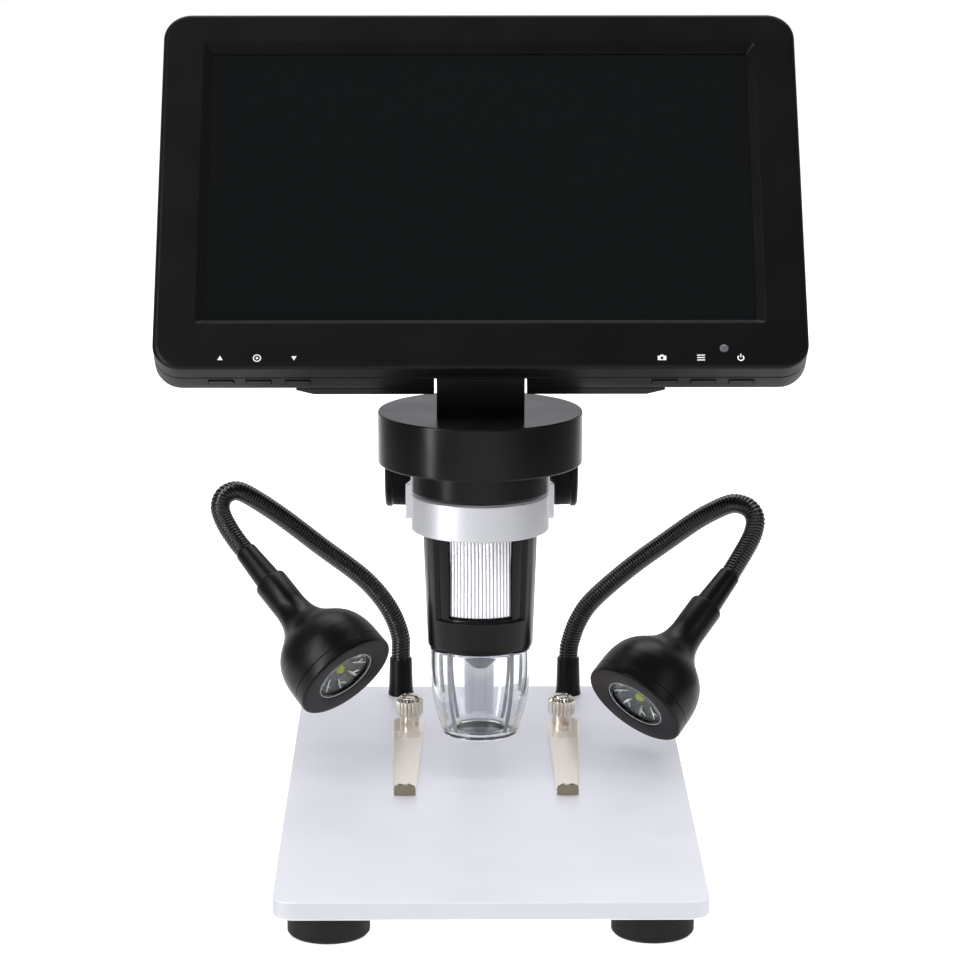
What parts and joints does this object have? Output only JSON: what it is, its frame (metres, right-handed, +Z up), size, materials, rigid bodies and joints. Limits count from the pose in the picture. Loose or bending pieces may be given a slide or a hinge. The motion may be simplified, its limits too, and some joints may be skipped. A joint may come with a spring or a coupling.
{
  "type": "lcd digital microscope",
  "caption": "Desktop digital microscope: camera head with tilting screen on a rack-and-pinion stand, gooseneck lamps and specimen clips on a metal plate.",
  "frame": {"origin": "on the table, under the camera head's centre line, at the plate's mid length", "axes": "+Z up, -Y towards the person who looks at the screen, +X to that person's right"},
  "size_m": [0.1838, 0.212, 0.23],
  "materials": {
    "satin_aluminium": "satin, bead blasted and clear anodised",
    "bare_steel": "zinc plated",
    "nickel_plate": "nickel plated",
    "black_rubber": "matt",
    "black_abs": "fine moulded texture",
    "black_satin_abs": "satin, smooth moulded",
    "black_coated_steel": "black coated wound steel",
    "silver_plastic": "silver, ribbed",
    "clear_plastic": "clear acrylic",
    "screen_glass": "black display surface",
    "lens_glass": "clear",
    "circuit_board": "solder mask",
    "bronze": "sintered bronze",
    "nylon": "natural",
    "grey_plastic": "grey, glossy",
    "cell_foil": "foil pouch"
  },
  "bodies": {
    "base": {"base_plate": "satin_aluminium", "rubber_feet": "black_rubber", "foot_screws": "bare_steel", "post": "satin_aluminium", "rack": "bare_steel", "post_bolt": "bare_steel", "post_cap": "black_abs", "lamp_sleeves": "black_satin_abs", "lamp_nuts": "bare_steel"},
    "carriage": {"carriage_bracket": "satin_aluminium", "drag_screw": "black_abs", "drag_pad": "nylon", "shaft_bushes": "bronze", "head_front_shell": "black_satin_abs", "head_rear_shell": "black_satin_abs", "sensor_board": "circuit_board", "barrel_shell": "black_satin_abs", "led_ring": "grey_plastic", "hinge_bracket": "black_abs", "hinge_pin": "bare_steel"},
    "focus_drive": {"pinion_shaft": "bare_steel", "focus_knob_left": "black_abs", "focus_knob_right": "black_abs"},
    "wheel": {"magnification_wheel": "silver_plastic"},
    "lens_carrier": {"lens_cell": "black_abs", "objective_lens": "lens_glass"},
    "cap": {"clear_cap": "clear_plastic"},
    "screen": {"screen_front": "black_abs", "screen_back": "black_abs", "lcd_panel": "screen_glass", "main_board": "circuit_board", "battery": "cell_foil", "back_screws": "bare_steel", "remote_sensor": "grey_plastic"},
    "button_up": {"button_up": "black_abs"},
    "button_select": {"button_select": "black_abs"},
    "button_down": {"button_down": "black_abs"},
    "button_photo": {"button_photo": "black_abs"},
    "button_menu": {"button_menu": "black_abs"},
    "button_power": {"button_power": "black_abs"},
    "clip_left": {"clip_left": "nickel_plate"},
    "thumbscrew_left": {"thumbscrew_left": "nickel_plate"},
    "lamp_left_root": {"gooseneck_lower_left": "black_coated_steel"},
    "lamp_left_arm": {"gooseneck_upper_left": "black_coated_steel"},
    "lamp_left_head": {"lamp_connector_left": "black_satin_abs", "lamp_shell_left": "black_satin_abs", "lamp_front_left": "black_satin_abs", "lamp_lens_left": "lens_glass"},
    "clip_right": {"clip_right": "nickel_plate"},
    "thumbscrew_right": {"thumbscrew_right": "nickel_plate"},
    "lamp_right_root": {"gooseneck_lower_right": "black_coated_steel"},
    "lamp_right_arm": {"gooseneck_upper_right": "black_coated_steel"},
    "lamp_right_head": {"lamp_connector_right": "black_satin_abs", "lamp_shell_right": "black_satin_abs", "lamp_front_right": "black_satin_abs", "lamp_lens_right": "lens_glass"}
  },
  "joints": [
    {"name": "carriage_slide", "type": "slide", "parent": "base", "child": "carriage", "axis": [0, 0, 1], "range_m": [-0.01, 0.045]},
    {"name": "focus_turn", "type": "hinge", "parent": "carriage", "child": "focus_drive", "pos_m": [0, 0.071, 0.0919], "axis": [1, 0, 0], "range_deg": [-646, 144]},
    {"name": "magnification_turn", "type": "hinge", "parent": "carriage", "child": "wheel", "pos_m": [0, 0.01, 0.07485], "axis": [0, 0, 1], "range_deg": [-135, 135]},
    {"name": "lens_travel", "type": "slide", "parent": "carriage", "child": "lens_carrier", "axis": [0, 0, 1], "range_m": [-0.0033, 0.0033]},
    {"name": "cap_pull", "type": "slide", "parent": "carriage", "child": "cap", "axis": [0, 0, -1], "range_m": [0, 0.01]},
    {"name": "screen_tilt", "type": "hinge", "parent": "carriage", "child": "screen", "pos_m": [0, -0.00301, 0.13576], "axis": [1, 0, 0], "range_deg": [-15, 40]},
    {"name": "button_up_press", "type": "slide", "parent": "screen", "child": "button_up", "axis": [0, 0.6074, 0.7944], "range_m": [0, 0.00025], "stiffness_N_per_m": 600},
    {"name": "button_select_press", "type": "slide", "parent": "screen", "child": "button_select", "axis": [0, 0.6074, 0.7944], "range_m": [0, 0.00025], "stiffness_N_per_m": 600},
    {"name": "button_down_press", "type": "slide", "parent": "screen", "child": "button_down", "axis": [0, 0.6074, 0.7944], "range_m": [0, 0.00025], "stiffness_N_per_m": 600},
    {"name": "button_photo_press", "type": "slide", "parent": "screen", "child": "button_photo", "axis": [0, 0.6074, 0.7944], "range_m": [0, 0.00025], "stiffness_N_per_m": 600},
    {"name": "button_menu_press", "type": "slide", "parent": "screen", "child": "button_menu", "axis": [0, 0.6074, 0.7944], "range_m": [0, 0.00025], "stiffness_N_per_m": 600},
    {"name": "button_power_press", "type": "slide", "parent": "screen", "child": "button_power", "axis": [0, 0.6074, 0.7944], "range_m": [0, 0.00025], "stiffness_N_per_m": 600},
    {"name": "clip_left_swing", "type": "hinge", "parent": "base", "child": "clip_left", "pos_m": [-0.0212, 0.059, 0.0136], "axis": [0, 0, 1], "range_deg": [-40, 25]},
    {"name": "thumbscrew_left_turn", "type": "hinge", "parent": "base", "child": "thumbscrew_left", "pos_m": [-0.0212, 0.059, 0.017], "axis": [0, 0, 1], "range_deg": [-180, 180]},
    {"name": "clip_right_swing", "type": "hinge", "parent": "base", "child": "clip_right", "pos_m": [0.0252, 0.059, 0.0136], "axis": [0, 0, 1], "range_deg": [-25, 40]},
    {"name": "thumbscrew_right_turn", "type": "hinge", "parent": "base", "child": "thumbscrew_right", "pos_m": [0.0252, 0.059, 0.017], "axis": [0, 0, 1], "range_deg": [-180, 180]},
    {"name": "lamp_left_turn", "type": "hinge", "parent": "base", "child": "lamp_left_root", "pos_m": [-0.0244, 0.0964, 0.02], "axis": [0, 0, 1], "range_deg": [-20, 9]},
    {"name": "lamp_left_bend", "type": "hinge", "parent": "lamp_left_root", "child": "lamp_left_arm", "pos_m": [-0.03128, 0.09437, 0.04622], "axis": [-0.5147, 0.8574, 0], "range_deg": [-7, 22]},
    {"name": "lamp_left_aim", "type": "hinge", "parent": "lamp_left_arm", "child": "lamp_left_head", "pos_m": [-0.07608, 0.06748, 0.07322], "axis": [-0.6781, -0.735, 0], "range_deg": [-7, 27]},
    {"name": "lamp_right_turn", "type": "hinge", "parent": "base", "child": "lamp_right_root", "pos_m": [0.0284, 0.0964, 0.02], "axis": [0, 0, 1], "range_deg": [-19, 20]},
    {"name": "lamp_right_bend", "type": "hinge", "parent": "lamp_right_root", "child": "lamp_right_arm", "pos_m": [0.03713, 0.0938, 0.04553], "axis": [-0.5834, -0.8122, 0], "range_deg": [-2, 25]},
    {"name": "lamp_right_aim", "type": "hinge", "parent": "lamp_right_arm", "child": "lamp_right_head", "pos_m": [0.08061, 0.06258, 0.06723], "axis": [-0.6973, 0.7168, 0], "range_deg": [-1, 30]}
  ],
  "couplings": [
    {"joint": "focus_turn", "follows": "carriage_slide", "rad_per_m": -250},
    {"joint": "magnification_turn", "follows": "lens_travel", "rad_per_m": 713.9}
  ]
}
